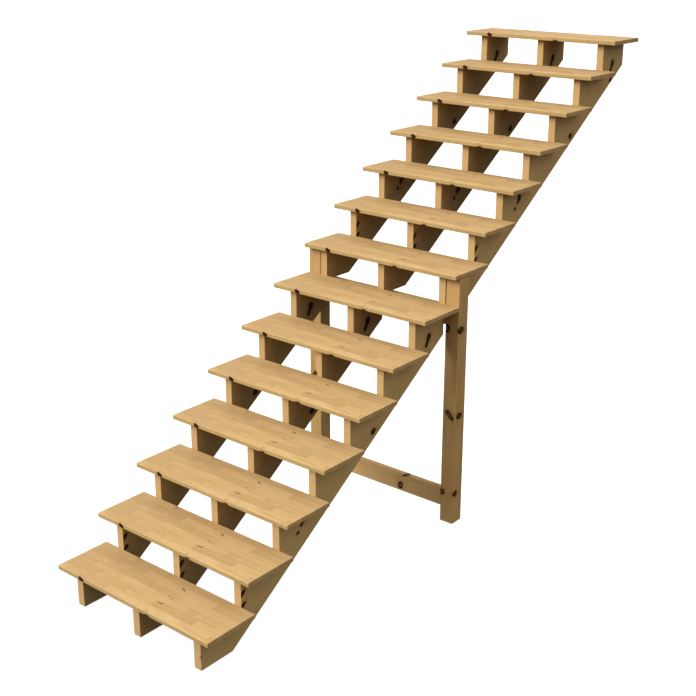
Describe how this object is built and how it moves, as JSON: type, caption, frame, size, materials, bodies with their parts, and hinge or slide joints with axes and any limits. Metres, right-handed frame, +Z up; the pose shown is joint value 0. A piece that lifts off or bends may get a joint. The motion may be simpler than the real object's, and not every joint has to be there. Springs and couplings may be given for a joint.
{
  "type": "wooden deck stairs",
  "caption": "Straight open-tread timber garden stair: board treads on stacked sawtooth stringers, with square posts and a rail under the middle.",
  "frame": {"origin": "centre of the stair's footprint, on the floor that the lower stringers and the posts stand on", "axes": "+Y up the flight, +Z up, +X to the right of someone going up"},
  "size_m": [1, 3.567, 2.417],
  "materials": {
    "tread_pine": "light honey pine, edge-glued and finger-jointed, planed",
    "stringer_pine": "oiled pine, planed, sawn edges",
    "frame_pine": "oiled pine, planed"
  },
  "bodies": {
    "root": {"tread_01": "tread_pine", "tread_02": "tread_pine", "tread_03": "tread_pine", "tread_04": "tread_pine", "tread_05": "tread_pine", "tread_06": "tread_pine", "tread_07": "tread_pine", "tread_08": "tread_pine", "tread_09": "tread_pine", "tread_10": "tread_pine", "tread_11": "tread_pine", "tread_12": "tread_pine", "tread_13": "tread_pine", "tread_14": "tread_pine", "lower_left_stringer": "stringer_pine", "lower_centre_stringer": "stringer_pine", "lower_right_stringer": "stringer_pine", "upper_left_stringer": "stringer_pine", "upper_centre_stringer": "stringer_pine", "upper_right_stringer": "stringer_pine", "left_post": "frame_pine", "right_post": "frame_pine", "support_beam": "frame_pine", "cross_rail": "frame_pine"}
  },
  "joints": []
}
